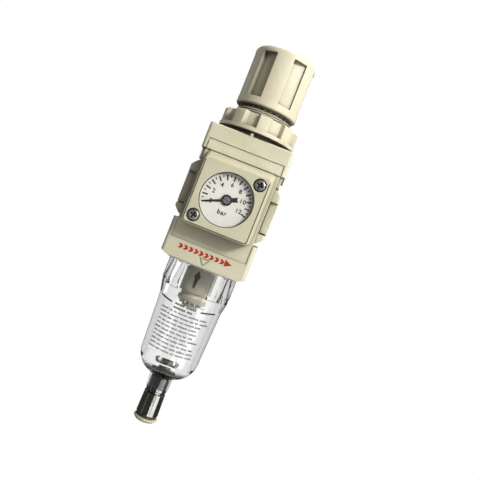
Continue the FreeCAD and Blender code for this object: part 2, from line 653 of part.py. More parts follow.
def make_gauge_case():
    """Cup for the movement, with a ledge for the dial and the pressure socket at its back."""
    y0, y1 = CASE_Y
    cup = cyl_y(CASE_R, y0, y1)
    hollow = fuse([cyl_y(CASE_R - 0.8, y0 - 1, DIAL_Y), cyl_y(CASE_R - 1.0, y0, y1 - 1.0)])
    socket = cyl_y(3.2, y1 - 0.5, y1 + 3.2, z=CHAMBER_Z)
    holder = box(-1.6, 1.6, TUBE_Y[0] - 0.2, y1 - 0.5, 3.6, 11.2)
    bearing = cyl_y(1.3, -14.4, y1 - 0.5)
    pivot_boss = cyl_y(1.1, -16.8, y1 - 0.5, z=SECTOR_PIVOT_Z)
    cuts = [cyl_y(0.8, -14.0, y1 + 5, z=CHAMBER_Z), cyl_y(0.5 + RUN, -14.6, -12.2),
            cyl_y(0.5, -18.0, -12.2, z=SECTOR_PIVOT_Z), make_bourdon_tube()]
    return fuse([cup.cut(hollow), socket, holder, bearing, pivot_boss]).cut(fuse(cuts))


def make_gauge_seal():
    return Part.makeTorus(2.3, 0.55, V(0, -7.95, CHAMBER_Z), V(0, 1, 0))


def make_dial_plate():
    return ring_y(CASE_R - 0.85, 0.9, DIAL_Y - 0.4, DIAL_Y)


def make_dial_ring():
    """Spacer between the dial plate and the window."""
    return ring_y(CASE_R - 0.85, CASE_R - 1.3, CASE_Y[0], DIAL_Y - 0.4)


def make_pointer():
    """Drawn pointing straight up, then turned to the zero mark."""
    y0, y1 = -22.3, -22.05
    needle = prism_y([(-0.62, 0), (0.62, 0), (0.3, 9.7), (-0.3, 9.7)], y0, y1)
    tail = prism_y([(-0.7, 0), (0.7, 0), (1.0, -4.7), (0, -4.2), (-1.0, -4.7)], y0, y1)
    hub = cyl_y(2.25, y0 - 0.1, y1 + 0.05)
    solid = fuse([needle, tail, hub]).cut(cyl_y(0.42, y0 - 1, y1 + 1))
    return turn(solid, -SWEEP_DEG / 2, V(0, 1, 0))


def gear_outline(pitch_r, teeth, numbers, phase_deg):
    """Corners of a run of teeth as (x, z), at angles clockwise from the top."""
    pitch = 360.0 / teeth
    root, tip = pitch_r - 1.25 * GEAR_MODULE, pitch_r + 0.8 * GEAR_MODULE
    points = []
    for k in numbers:
        for share, r in ((-0.31, root), (-0.10, tip), (0.10, tip), (0.31, root)):
            a = math.radians(phase_deg + pitch * (k + share))
            points.append((r * math.sin(a), r * math.cos(a)))
    return points


def make_pinion_shaft():
    """Arbor that carries the pointer; its teeth mesh with the sector below it."""
    y0, y1 = GEAR_Y
    pinion = prism_y(gear_outline(PINION_R, PINION_TEETH, range(PINION_TEETH), 0.0), y0, y1)
    arbor = cyl_y(0.5, DIAL_Y + 0.1, -12.4)
    tip = cyl_y(0.42, -22.4, DIAL_Y + 0.1)
    return fuse([pinion, arbor, tip])


def make_sector_gear():
    """Toothed quadrant with a tail for the link, drawn about its pivot at the zero position."""
    y0, y1 = GEAR_Y[0] + 0.1, GEAR_Y[1] - 0.1
    half_pitch = 180.0 / SECTOR_TEETH
    rim = gear_outline(SECTOR_R, SECTOR_TEETH, range(-2, 9), half_pitch)
    quadrant = prism_y([(-1.0, -0.6), (-1.0, 3.0)] + rim + [(2.8, 2.0), (1.0, -0.6)], y0, y1)
    tail = prism_y([(-0.6, 0), (0.6, 0), (0.45, -SECTOR_TAIL - 0.5), (-0.45, -SECTOR_TAIL - 0.5)], y0, y1)
    tail = turn(tail, SECTOR_REST_DEG, V(0, 1, 0))
    hub = cyl_y(1.1, y0, y1 + 0.3)
    (pin_x, pin_z), _ = link_ends()
    pivot_hole = cyl_y(0.5 + RUN, y0 - 1, y1 + 2)
    pin_hole = cyl_y(0.25, y0 - 1, y1 + 2, pin_x, pin_z - SECTOR_PIVOT_Z)
    holes = fuse([pivot_hole, pin_hole])
    solid = fuse([quadrant, tail, hub]).cut(holes)
    solid.translate(V(0, 0, SECTOR_PIVOT_Z))
    return solid


def make_sector_pin():
    return fuse([cyl_y(0.5, -19.0, -12.2, z=SECTOR_PIVOT_Z), cyl_y(0.9, -19.2, -18.7, z=SECTOR_PIVOT_Z)])


def link_ends():
    """The link's pin on the sector's tail and its pin on the tube's tip, as (x, z)."""
    a = math.radians(SECTOR_REST_DEG)
    tail = (-SECTOR_TAIL * math.sin(a), SECTOR_PIVOT_Z - SECTOR_TAIL * math.cos(a))
    b = math.radians(TUBE_TIP_DEG + 4.0)
    return tail, (TUBE_R * math.sin(b), TUBE_R * math.cos(b))


def make_gauge_link():
    (x0, z0), (x1, z1) = link_ends()
    length = math.hypot(x1 - x0, z1 - z0)
    y0, y1 = -19.1, -18.7
    bar = box(-0.35, 0.35, y0, y1, 0, length)
    eyes = [cyl_y(0.6, y0, y1), cyl_y(0.6, y0, y1, z=length)]
    pin = cyl_y(0.2, y1, GEAR_Y[1])
    link = fuse([bar, pin] + eyes).cut(cyl_y(0.3, y0 - 1, y1 + 1, z=length))
    link = turn(link, math.degrees(math.atan2(x1 - x0, z1 - z0)), V(0, 1, 0))
    link.translate(V(x0, 0, z0))
    return link


def make_bourdon_tube():
    """Flattened tube bent round from its holder, down the left side, to a free tip with the link's pin."""
    (y0, y1), thick = TUBE_Y, 0.8
    outline = [V(0, y0, TUBE_R - thick / 2), V(0, y0, TUBE_R + thick / 2),
               V(0, y1, TUBE_R + thick / 2), V(0, y1, TUBE_R - thick / 2)]
    section = Part.Face(Part.makePolygon(outline + outline[:1]))
    swept = 360.0 - TUBE_TIP_DEG
    tube = turn(section.revolve(V(0, 0, 0), V(0, 1, 0), swept), -swept, V(0, 1, 0))
    _, (x, z) = link_ends()
    pin = cyl_y(0.25, -19.3, y0 + 0.5, x, z)
    lug = cyl_y(0.6, -18.4, y0 + 0.5, x, z).common(cyl_y(TUBE_R + 0.5, -19, y0 + 0.6))
    return fuse([tube, pin, lug])


def make_gauge_screws():
    screws = []
    for s in (-1, 1):
        x = z = s * SCREW_AT
        y0 = GAUGE_FACE_Y + 0.15
        head = cyl_y(2.35, y0, y0 + 1.3, x, z)
        rim = [e for e in head.Edges if abs(e.BoundBox.YMax - y0) < 1e-6 and e.BoundBox.XLength > 1]
        head = head.makeFillet(0.5, rim)
        shank = cyl_y(1.25, y0 + 1.3, -9.6, x, z)
        cross = fuse([box(x - 1.4, x + 1.4, y0 - 1, y0 + 0.8, z - 0.3, z + 0.3),
                      box(x - 0.3, x + 0.3, y0 - 1, y0 + 0.8, z - 1.4, z + 1.4)])
        screws.append(fuse([head, shank]).cut(turn(cross, 20.0, V(0, 1, 0), V(x, 0, z))))
    return Part.makeCompound(screws)


def make_rear_plug():
    """Socket plug in the unused gauge port at the back."""
    plug = cyl_y(4.28, 11.5, BACK_Y - 0.4, z=CHAMBER_Z)
    key = turn(hexagon(5.0, 0, 4.5), -90, V(1, 0, 0))
    key.translate(V(0, BACK_Y - 4.4, CHAMBER_Z))
    return plug.cut(key)


PARTS = {
    "body": make_body,
    "front_cover": make_front_cover,
    "bonnet": make_bonnet,
    "panel_nut": make_panel_nut,
    "knob": make_knob,
    "adjusting_screw": make_adjusting_screw,
    "thrust_washer": make_thrust_washer,
    "spring_seat": make_spring_seat,
    "regulating_spring": make_regulating_spring,
    "spring_pan": make_spring_pan,
    "diaphragm": make_diaphragm,
    "diaphragm_disc": make_diaphragm_disc,
    "relief_rivet": make_relief_rivet,
    "valve_stem": make_valve_stem,
    "valve_seal": make_valve_seal,
    "valve_spring": make_valve_spring,
    "valve_guide": make_valve_guide,
    "guide_seal": make_guide_seal,
    "deflector": make_deflector,
    "filter_element": make_filter_element,
    "baffle": make_baffle,
    "element_rod": make_element_rod,
    "bowl": make_bowl,
    "bowl_seal": make_bowl_seal,
    "drain_body": make_drain_body,
    "drain_washer": make_drain_washer,
    "drain_nut": make_drain_nut,
    "drain_stem": make_drain_stem,
    "drain_seal": make_drain_seal,
    "drain_spring": make_drain_spring,
    "drain_button": make_drain_button,
    "gauge_hood": make_gauge_hood,
    "gauge_window": make_gauge_window,
    "gauge_case": make_gauge_case,
    "gauge_seal": make_gauge_seal,
    "dial_plate": make_dial_plate,
    "dial_ring": make_dial_ring,
    "pointer": make_pointer,
    "pinion_shaft": make_pinion_shaft,
    "sector_gear": make_sector_gear,
    "sector_pin": make_sector_pin,
    "gauge_link": make_gauge_link,
    "bourdon_tube": make_bourdon_tube,
    "gauge_screws": make_gauge_screws,
    "rear_plug": make_rear_plug,
}


def main():
    os.makedirs("parts", exist_ok=True)
    for name, make in PARTS.items():
        shape = make()
        solids = shape.Solids
        volume = sum(s.Volume for s in solids)
        print(f"{name}: {len(solids)} solid(s), {volume:.1f} mm3, valid {shape.isValid()}")
        shape = solids[0] if len(solids) == 1 else Part.makeCompound(solids)
        shape.exportStep(f"parts/{name}.step")


main()
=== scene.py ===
"""Looks of the compressed-air filter-regulator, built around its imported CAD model.

Row frame, metres: origin on the port axis, +X inlet to outlet, +Z up to the knob, gauge faces -Y.
"""

import json
import math
import random

import bpy
from mathutils import Matrix, Vector


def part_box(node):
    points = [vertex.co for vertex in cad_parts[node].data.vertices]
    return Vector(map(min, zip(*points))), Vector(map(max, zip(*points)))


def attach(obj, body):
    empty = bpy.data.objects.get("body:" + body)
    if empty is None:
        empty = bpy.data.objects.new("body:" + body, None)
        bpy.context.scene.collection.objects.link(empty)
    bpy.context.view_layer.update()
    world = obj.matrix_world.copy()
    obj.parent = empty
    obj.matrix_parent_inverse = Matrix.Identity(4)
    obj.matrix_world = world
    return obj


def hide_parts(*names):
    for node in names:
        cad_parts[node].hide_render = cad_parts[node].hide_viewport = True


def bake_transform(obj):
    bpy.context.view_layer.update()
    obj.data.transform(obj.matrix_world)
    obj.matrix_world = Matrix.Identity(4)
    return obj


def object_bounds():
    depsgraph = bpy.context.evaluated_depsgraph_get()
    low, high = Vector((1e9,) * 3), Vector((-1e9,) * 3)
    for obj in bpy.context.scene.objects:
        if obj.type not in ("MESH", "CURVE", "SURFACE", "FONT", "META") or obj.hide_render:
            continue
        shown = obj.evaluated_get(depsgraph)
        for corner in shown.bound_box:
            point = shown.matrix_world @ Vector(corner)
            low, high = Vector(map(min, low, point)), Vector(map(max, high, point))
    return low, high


MM = 0.001

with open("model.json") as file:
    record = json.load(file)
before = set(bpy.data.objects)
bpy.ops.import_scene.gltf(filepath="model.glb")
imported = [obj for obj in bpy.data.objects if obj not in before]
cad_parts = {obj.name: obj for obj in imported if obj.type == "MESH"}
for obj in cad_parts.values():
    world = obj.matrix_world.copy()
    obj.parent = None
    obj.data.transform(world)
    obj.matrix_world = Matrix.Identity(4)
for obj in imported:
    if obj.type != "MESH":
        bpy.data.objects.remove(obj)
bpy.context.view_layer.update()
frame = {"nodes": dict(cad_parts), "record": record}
nodes = frame["nodes"]


# ------------------------------------------------------------------ node helpers
def set_range(made, low, high, to_low, to_high):
    """Limits of a Map Range node."""
    for key, value in (("From Min", low), ("From Max", high), ("To Min", to_low), ("To Max", to_high)):
        made.inputs[key].default_value = value


def math_node(tree, operation, a, b):
    """Output of a Math node whose two inputs are numbers or sockets."""
    made = tree.nodes.new("ShaderNodeMath")
    made.operation = operation
    for slot, value in ((0, a), (1, b)):
        if isinstance(value, (int, float)):
            made.inputs[slot].default_value = value
        else:
            tree.links.new(value, made.inputs[slot])
    return made.outputs[0]


class Graph:
    """Short names for building one material's node tree."""

    def __init__(self, name):
        self.material = bpy.data.materials.new(name)
        self.material.use_nodes = True
        self.tree = self.material.node_tree
        self.tree.nodes.clear()
        self.out = self.node("ShaderNodeOutputMaterial")
        self.bsdf = self.node("ShaderNodeBsdfPrincipled")
        self.link(self.bsdf.outputs[0], self.out.inputs[0])
        self.coords = self.node("ShaderNodeTexCoord").outputs["Object"]

    def node(self, kind, **values):
        made = self.tree.nodes.new(kind)
        for key, value in values.items():
            if hasattr(made, key):
                setattr(made, key, value)
            else:
                made.inputs[key.replace("_", " ")].default_value = value
        return made

    def link(self, source, target):
        self.tree.links.new(source, target)

    def set(self, **values):
        for key, value in values.items():
            self.bsdf.inputs[key.replace("_", " ")].default_value = value

    def feed(self, name, source):
        self.link(source, self.bsdf.inputs[name])

    def scaled(self, x, y, z):
        """Object coordinates stretched, for streaks along an axis."""
        mapping = self.node("ShaderNodeMapping")
        mapping.inputs["Scale"].default_value = (x, y, z)
        self.link(self.coords, mapping.inputs["Vector"])
        return mapping.outputs[0]

    def noise(self, scale, detail=3.0, roughness=0.55, vector=None):
        made = self.node("ShaderNodeTexNoise", Scale=scale, Detail=detail, Roughness=roughness)
        self.link(vector or self.coords, made.inputs["Vector"])
        return made.outputs["Fac"]

    def voronoi(self, scale):
        made = self.node("ShaderNodeTexVoronoi", Scale=scale)
        self.link(self.coords, made.inputs["Vector"])
        return made.outputs["Distance"]

    def remap(self, source, low, high, to_low, to_high):
        made = self.node("ShaderNodeMapRange")
        set_range(made, low, high, to_low, to_high)
        self.link(source, made.inputs["Value"])
        return made.outputs[0]

    def math(self, operation, a, b):
        return math_node(self.tree, operation, a, b)

    def mix(self, factor, a, b, blend="MIX"):
        made = self.node("ShaderNodeMix", data_type="RGBA", blend_type=blend)
        for socket, value in ((made.inputs["Factor"], factor), (made.inputs[6], a), (made.inputs[7], b)):
            if isinstance(value, bpy.types.NodeSocket):
                self.link(value, socket)
            elif isinstance(value, (int, float)):
                socket.default_value = value
            else:
                socket.default_value = (*value, 1.0) if len(value) == 3 else value
        return made.outputs[2]

    def bump(self, height, distance, strength=0.5, normal=None):
        made = self.node("ShaderNodeBump", Strength=strength, Distance=distance)
        self.link(height, made.inputs["Height"])
        if normal is not None:
            self.link(normal, made.inputs["Normal"])
        self.feed("Normal", made.outputs[0])
        return made.outputs[0]

    def edges(self, radius):
        """(rounded normal, 0 to 1 mask that is high along sharp edges)."""
        bevel = self.node("ShaderNodeBevel", samples=6, Radius=radius)
        geometry = self.node("ShaderNodeNewGeometry")
        dot = self.node("ShaderNodeVectorMath", operation="DOT_PRODUCT")
        self.link(bevel.outputs[0], dot.inputs[0])
        self.link(geometry.outputs["Normal"], dot.inputs[1])
        return bevel.outputs[0], self.remap(dot.outputs["Value"], 1.0, 0.86, 0.0, 1.0)

    def crevice(self, distance):
        """0 in the open, 1 deep in a corner."""
        made = self.node("ShaderNodeAmbientOcclusion", samples=6, Distance=distance)
        return self.remap(made.outputs["AO"], 0.85, 0.25, 0.0, 1.0)

    def clear_shadow(self, tint):
        """Lets shadow rays pass, so that what is inside a clear piece stays lit."""
        path = self.node("ShaderNodeLightPath")
        clear = self.node("ShaderNodeBsdfTransparent")
        clear.inputs[0].default_value = (*tint, 1.0)
        blend = self.node("ShaderNodeMixShader")
        self.link(path.outputs["Is Shadow Ray"], blend.inputs[0])
        self.link(self.bsdf.outputs[0], blend.inputs[1])
        self.link(clear.outputs[0], blend.inputs[2])
        self.link(blend.outputs[0], self.out.inputs[0])


def linear(r, g, b):
    """Scene-linear colour from 0-255 display values."""
    shares = (v / 255 for v in (r, g, b))
    return tuple(v / 12.92 if v <= 0.04045 else ((v + 0.055) / 1.055) ** 2.4 for v in shares)


def darker(tone, share):
    return tuple(v * share for v in tone)


def brighter(tone, share):
    return tuple(min(1.0, v * share) for v in tone)


# ------------------------------------------------------------------ materials
def moulded(name, tone, shade, rough=0.42, grain=1500.0, glow=0.0):
    """Paint or moulded plastic: fine grain, uneven tone, paler edges from wear, and painted shade in
    corners and under parts.
    Glow is a painted glow: emission that stands for the light a milky plastic passes on from behind."""
    g = Graph(name)
    rounded, edge_mask = g.edges(0.35 * MM)
    cloud = g.noise(70.0, 4.0)
    speck = g.noise(900.0, 2.0)
    base = g.mix(g.remap(cloud, 0.35, 0.68, 0.0, 1.0), tone, shade)
    base = g.mix(g.remap(speck, 0.4, 0.7, 0.0, 0.10), base, darker(shade, 0.72))
    # Painted shade: darker deep in corners and recesses, and over a wide reach under and between parts,
    # where shade falls.
    base = g.mix(g.math("MULTIPLY", g.crevice(2.2 * MM), 0.42), base, darker(shade, 0.34))
    base = g.mix(g.math("MULTIPLY", g.crevice(11.0 * MM), 0.76), base, darker(shade, 0.12))
    base = g.mix(g.math("MULTIPLY", edge_mask, 0.30), base, brighter(tone, 1.18))
    g.feed("Base Color", base)
    # Painted glow: the base colour is given off as emission, standing for light that a milky plastic
    # passes on from behind.
    g.feed("Emission Color", base)
    g.set(Emission_Strength=glow)
    g.feed("Roughness", g.remap(g.noise(220.0, 3.0), 0.3, 0.7, rough - 0.07, rough + 0.09))
    g.set(Specular_IOR_Level=0.42, Coat_Weight=0.06, Coat_Roughness=0.25)
    g.bump(g.noise(grain, 2.0), 0.012 * MM, 0.45, rounded)
    return g.material


def metal(name, tone, dark, rough, streaks=(60.0, 60.0, 2600.0), depth=0.006 * MM, edge=0.2 * MM, rim=1.3):
    """Turned or plated metal with fine streaks round the part; a rim above 1 brightens its edges as wear,
    and a rim below 1 paints them dark, a painted shade along the rounded edge.
    """
    g = Graph(name)
    rounded, edge_mask = g.edges(edge)
    lines = g.noise(1.0, 4.0, 0.7, g.scaled(*streaks))
    stain = g.noise(160.0, 4.0)
    base = g.mix(g.remap(stain, 0.35, 0.72, 0.0, 1.0), tone, dark)
    share = 0.35 if rim > 1 else 1.0
    base = g.mix(g.math("MULTIPLY", edge_mask, share), base, brighter(tone, rim))
    # Painted shade: nearly black deep in recesses, such as a screw head's cross recess.
    base = g.mix(g.crevice(1.6 * MM), base, darker(dark, 0.03))
    g.feed("Base Color", base)
    g.feed("Roughness", g.remap(lines, 0.3, 0.7, rough * 0.7, rough * 1.4))
    g.set(Metallic=1.0)
    g.bump(lines, depth, 0.35, rounded)
    return g.material


def rubber(name):
    """Black rubber, patchily greyed."""
    g = Graph(name)
    bloom = g.remap(g.noise(400.0), 0.35, 0.7, 0.0, 1.0)
    base = g.mix(bloom, (0.012, 0.012, 0.013), (0.035, 0.034, 0.033))
    g.feed("Base Color", base)
    g.feed("Roughness", g.remap(g.noise(900.0), 0.3, 0.7, 0.5, 0.75))
    g.bump(g.noise(3000.0), 0.01 * MM, 0.5)
    return g.material


def porous(name, tone, shade):
    """Sintered filter medium: packed round grains."""
    g = Graph(name)
    cells = g.voronoi(1600.0)
    base = g.mix(g.remap(cells, 0.1, 0.6, 0.0, 1.0), tone, shade)
    base = g.mix(g.remap(g.noise(90.0), 0.4, 0.75, 0.0, 0.35), base, darker(shade, 0.6))
    g.feed("Base Color", base)
    g.set(Roughness=0.85)
    g.bump(cells, 0.12 * MM, 0.7)
    return g.material


def clear(name, tint, rough, ior, waves, murk=0.0):
    """Moulded transparent plastic with faint flow lines and scuffs; murk greys it where it is thick."""
    g = Graph(name)
    scuff = g.remap(g.noise(1.0, 5.0, 0.7, g.scaled(300.0, 300.0, 40.0)), 0.52, 0.8, 0.0, 1.0)
    g.feed("Roughness", g.remap(scuff, 0.0, 1.0, rough, rough + 0.16))
    g.feed("Base Color", g.mix(g.noise(45.0), tint, darker(tint, 0.97)))
    g.set(Transmission_Weight=1.0, IOR=ior, Specular_IOR_Level=0.5)
    g.bump(g.noise(1.0, 2.0, 0.4, g.scaled(90.0, 90.0, 25.0)), waves, 0.3)
    g.clear_shadow(tuple(0.55 + 0.42 * v for v in tint))
    if murk:
        body = g.node("ShaderNodeVolumeAbsorption")
        body.inputs["Color"].default_value = (0.55, 0.56, 0.55, 1.0)
        body.inputs["Density"].default_value = murk
        g.link(body.outputs[0], g.out.inputs["Volume"])
    return g.material


def ink(name, tone, rough=0.45):
    """Printed ink: slightly patchy, with a fine raised grain."""
    g = Graph(name)
    patch = g.remap(g.noise(1300.0, 3.0), 0.4, 0.75, 0.0, 0.4)
    g.feed("Base Color", g.mix(patch, tone, tuple(v * 0.6 + 0.02 for v in tone)))
    g.set(Roughness=rough, Specular_IOR_Level=0.15)
    g.bump(g.noise(5000.0), 0.004 * MM, 0.4)
    return g.material


def enamel(name, tone, shine=0.4):
    """Smooth printed enamel of the dial."""
    g = Graph(name)
    g.set(Specular_IOR_Level=shine)
    cloud = g.remap(g.noise(120.0), 0.35, 0.7, 0.0, 1.0)
    g.feed("Base Color", g.mix(cloud, tone, darker(tone, 0.965)))
    g.feed("Roughness", g.remap(g.noise(700.0), 0.3, 0.7, 0.32, 0.44))
    g.bump(g.noise(2500.0), 0.003 * MM, 0.4)
    return g.material


CREAM = linear(214, 208, 184)
CREAM_SHADE = linear(203, 196, 168)
PAINT = linear(211, 206, 183)
PAINT_SHADE = linear(200, 195, 168)
IVORY = linear(212, 205, 184)
IVORY_SHADE = linear(190, 181, 156)
BRIGHT_IVORY = linear(232, 228, 208)
HOOD = linear(202, 197, 171)
HOOD_SHADE = linear(193, 188, 160)
BUTTON = linear(196, 192, 170)

looks = {
    "cream_paint": moulded("cream_paint", PAINT, PAINT_SHADE, 0.40, 1300.0),
    "cream_plastic": moulded("cream_plastic", CREAM, CREAM_SHADE, 0.46, 1800.0),
    # glow=0.2 is a painted glow that brightens the filter stack inside the bowl.
    "white_plastic": moulded("white_plastic", BRIGHT_IVORY, IVORY, 0.5, glow=0.2),
    "black_plastic": moulded("black_plastic", (0.03, 0.03, 0.03), (0.02, 0.02, 0.02), 0.5),
    "filter_media": porous("filter_media", IVORY, IVORY_SHADE),
    "black_rubber": rubber("black_rubber"),
    "steel": metal("steel", (0.62, 0.62, 0.6), (0.42, 0.42, 0.41), 0.28),
    # rim=0.08 paints the heads' rounded edges nearly black: painted shade round the rim.
    "chrome_screw": metal("chrome_screw", (0.95, 0.95, 0.92), (0.45, 0.45, 0.42), 0.3,
                          streaks=(1500.0, 1500.0, 1500.0), edge=0.6 * MM, rim=0.08),
    "dark_chrome": metal("dark_chrome", (0.3, 0.3, 0.27), (0.23, 0.23, 0.205), 0.15,
                         streaks=(40.0, 40.0, 900.0), depth=0.002 * MM),
    "aluminium": metal("aluminium", (0.78, 0.78, 0.79), (0.62, 0.62, 0.63), 0.3),
    "brass": metal("brass", (0.78, 0.58, 0.28), (0.55, 0.38, 0.17), 0.25),
    "white_enamel": enamel("white_enamel", linear(203, 201, 194)),
    "black_enamel": enamel("black_enamel", (0.009, 0.009, 0.009), 0.12),
    "clear_bowl": clear("clear_bowl", (0.975, 0.98, 0.975),
                        rough=0.03, ior=1.5, waves=0.06 * MM, murk=32.0),
    "clear_window": clear("clear_window", (0.985, 0.985, 0.985),
                          rough=0.01, ior=1.45, waves=0.01 * MM),
}
print_black = ink("print_black", (0.012, 0.012, 0.012))
print_grey = ink("print_grey", linear(72, 72, 70))
print_red = ink("print_red", linear(176, 52, 40))
# Dark ink for the print on the bowl, also used for the painted shade at the grip grooves' feet and the
# bowl floor's rings.
dark_print_and_painted_shade = ink("dark_print_and_painted_shade", linear(52, 48, 38))

own_looks = {
    "gauge_hood": moulded("hood_plastic", HOOD, HOOD_SHADE, 0.42, 1500.0),
    "drain_button": moulded("button_plastic", BUTTON, IVORY_SHADE, 0.5),
}

for entry in frame["record"]["subparts"]:
    part = nodes[entry["node"]]
    part.data.materials.clear()
    part.data.materials.append(own_looks.get(entry["node"], looks[entry["material_slot"]]))


# ------------------------------------------------------------------ piece helpers
def mesh_object(name, verts, faces, material):
    """One object of the scene, with one mesh and one material."""
    mesh = bpy.data.meshes.new(name)
    mesh.from_pydata([tuple(v) for v in verts], [], faces)
    mesh.validate()
    mesh.update()
    mesh.materials.append(material)
    obj = bpy.data.objects.new(name, mesh)
    bpy.context.scene.collection.objects.link(obj)
    return obj


def piece(name, verts, faces, material, body):
    """One mesh that rides on a CAD body."""
    obj = mesh_object(name, verts, faces, material)
    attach(obj, body)


def full_turn(steps):
    """Angles of one full turn in equal steps, in radians."""
    return [2 * math.pi * i / steps for i in range(steps)]


class Solid:
    """Collects closed shapes for one mesh."""

    def __init__(self):
        self.verts = []
        self.faces = []

    def loops(self, rows, closed=False):
        """Skin between rings with the same number of points.
        Closed joins the last ring to the first; otherwise both are capped."""
        base, n = len(self.verts), len(rows[0])
        for row in rows:
            self.verts += [Vector(p) for p in row]
        spans = len(rows) if closed else len(rows) - 1
        for i in range(spans):
            a, b = base + i * n, base + ((i + 1) % len(rows)) * n
            for j in range(n):
                k = (j + 1) % n
                self.faces.append((a + j, a + k, b + k, b + j))
        if not closed:
            self.faces.append(tuple(base + j for j in reversed(range(n))))
            self.faces.append(tuple(base + (len(rows) - 1) * n + j for j in range(n)))

    def prism_y(self, outline, y_front, y_back):
        """Flat plate facing -Y over an outline of (x, z)."""
        self.loops([[(x, y_front, z) for x, z in outline], [(x, y_back, z) for x, z in outline]])

    def bent(self, r_in, r_out, a0, a1, z0, z1, steps=1, taper=0.0):
        """Plate bent round the Z axis, from a0 to a1 degrees counted from the front (-Y) towards +X.
        Taper leans it outwards as it rises."""
        rows = []
        for i in range(steps + 1):
            a = math.radians(a0 + (a1 - a0) * i / steps)
            s, c = math.sin(a), -math.cos(a)
            lean = taper * (z1 - z0)
            section = ((r_in, z0), (r_out, z0), (r_out + lean, z1), (r_in + lean, z1))
            rows.append([(r * s, r * c, z) for r, z in section])
        self.loops(rows)

    def piece(self, name, material, body, slot):
        piece(name, self.verts, self.faces, material, body)


def scaled(points):
    """Points (x, z) given in millimetres, in metres."""
    return [(x * MM, z * MM) for x, z in points]


def text_mesh(text, size, x, z, y_front, depth):
    """Vertices and faces of upright text facing -Y, centred on (x, z)."""
    curve = bpy.data.curves.new("glyphs", "FONT")
    curve.body = text
    curve.size = size
    curve.extrude = depth / 2
    curve.offset = size * 0.03
    curve.space_character = 1.14
    curve.align_x = "CENTER"
    curve.align_y = "CENTER"
    curve.resolution_u = 4
    holder = bpy.data.objects.new("glyphs", curve)
    bpy.context.scene.collection.objects.link(holder)
    bpy.context.view_layer.update()
    mesh = bpy.data.meshes.new_from_object(holder.evaluated_get(bpy.context.evaluated_depsgraph_get()))
    stand = Matrix.Translation((x, y_front + depth / 2, z)) @ Matrix.Rotation(math.radians(90), 4, "X")
    verts = [stand @ v.co for v in mesh.vertices]
    faces = [tuple(p.vertices) for p in mesh.polygons]
    bpy.data.objects.remove(holder)
    bpy.data.curves.remove(curve)
    bpy.data.meshes.remove(mesh)
    return verts, faces


def ring_rows(section, x=0.0, z=0.0, steps=72):
    """Rings of a hoop round an axis along Y through (x, z), from a section of (radius, y) points.
    Radii are in millimetres, the rest in metres."""
    return [[(x + r * MM * math.cos(a), y, z + r * MM * math.sin(a)) for r, y in section]
            for a in full_turn(steps)]


# ------------------------------------------------------------------ gauge dial
SWEEP = 224.0           # degrees of the scale, symmetric about the top
FULL_SCALE = 12         # bar
TICK_END_R = 10.25      # this and the rest in millimetres
MAJOR_TICK = (8.0, 0.31)    # inner radius and half width
MINOR_TICK = (9.3, 0.2)
NUMBER_R = 6.5
NUMBER_SIZE = 2.5
UNIT_SIZE = 2.7
UNIT_Z = -5.4
SCREW_HEAD_R = 2.35


def dial_angle(bar):
    """Clockwise angle from the top, seen from the front, in radians."""
    return math.radians(-SWEEP / 2 + SWEEP * bar / FULL_SCALE)


def build_dial_ticks(y0, y1):
    """A tick for every half bar, longer and wider on the whole bars."""
    marks = Solid()
    for half_bars in range(2 * FULL_SCALE + 1):
        a = dial_angle(half_bars / 2)
        inner_r, half = MINOR_TICK if half_bars % 2 else MAJOR_TICK
        out = Vector((math.sin(a), math.cos(a)))
        side = Vector((math.cos(a), -math.sin(a))) * half
        inner, outer = out * inner_r, out * TICK_END_R
        marks.prism_y(scaled([inner - side, outer - side, outer + side, inner + side]), y0, y1)
    marks.piece("dial_ticks", print_black, "base", "black_enamel")


def build_dial_numbers(y0, y1):
    """Every second whole bar, and the unit."""
    verts, faces = [], []
    labels = [("bar", UNIT_SIZE, 0.0, UNIT_Z)]
    for bar in range(0, FULL_SCALE + 1, 2):
        a = dial_angle(bar)
        labels.append((str(bar), NUMBER_SIZE, NUMBER_R * math.sin(a), NUMBER_R * math.cos(a)))
    for text, size, x, z in labels:
        v, f = text_mesh(text, size * MM, x * MM, z * MM, y0, y1 - y0)
        faces += [tuple(i + len(verts) for i in face) for face in f]
        verts += v
    piece("dial_numbers", verts, faces, print_black, "base")


def build_dial_print():
    """Scale printed on the dial plate, standing a little proud of it."""
    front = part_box("dial_plate")[0].y
    y0, y1 = front - 0.03 * MM, front + 0.02 * MM
    build_dial_ticks(y0, y1)
    build_dial_numbers(y0, y1)


def build_pointer_hub():
    """Domed grey cap in the middle of the pointer's black hub."""
    hub_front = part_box("pointer")[0].y
    profile = ((1.6, 0.0), (1.6, -0.05), (1.4, -0.12), (0.5, -0.17))
    cap = Solid()
    cap.loops([[(r * MM * math.sin(a), hub_front + y * MM, r * MM * math.cos(a)) for a in full_turn(28)]
               for r, y in profile])
    cap.piece("pointer_cap", looks["steel"], "pointer", "steel")


def build_window_gasket():
    """Thin black lip between the hood's opening and the clear window."""
    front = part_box("gauge_window")[0].y
    y0, y1 = front - 0.42 * MM, front - 0.02 * MM
    section = [(10.88, y1), (11.17, y1), (11.17, y0), (11.02, y0)]
    hoop = Solid()
    hoop.loops(ring_rows(section), closed=True)
    hoop.piece("window_gasket", looks["black_rubber"], "base", "black_rubber")


def build_screw_cups():
    """Painted shade: dark rings in the two counterbores round the gauge screws' heads, standing for the
    shade there.
    """
    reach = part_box("gauge_screws")[1].x - SCREW_HEAD_R * MM
    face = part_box("gauge_hood")[0].y
    y0, y1 = face + 0.04 * MM, face + 1.45 * MM
    section = [(2.42, y1), (2.73, y1), (2.73, y0), (2.5, y0)]
    shade_rings = Solid()
    for s in (-1, 1):
        shade_rings.loops(ring_rows(section, s * reach, s * reach, 40), closed=True)
    shade_rings.piece("gauge_screw_shade_rings", looks["black_plastic"], "base", "black_plastic")


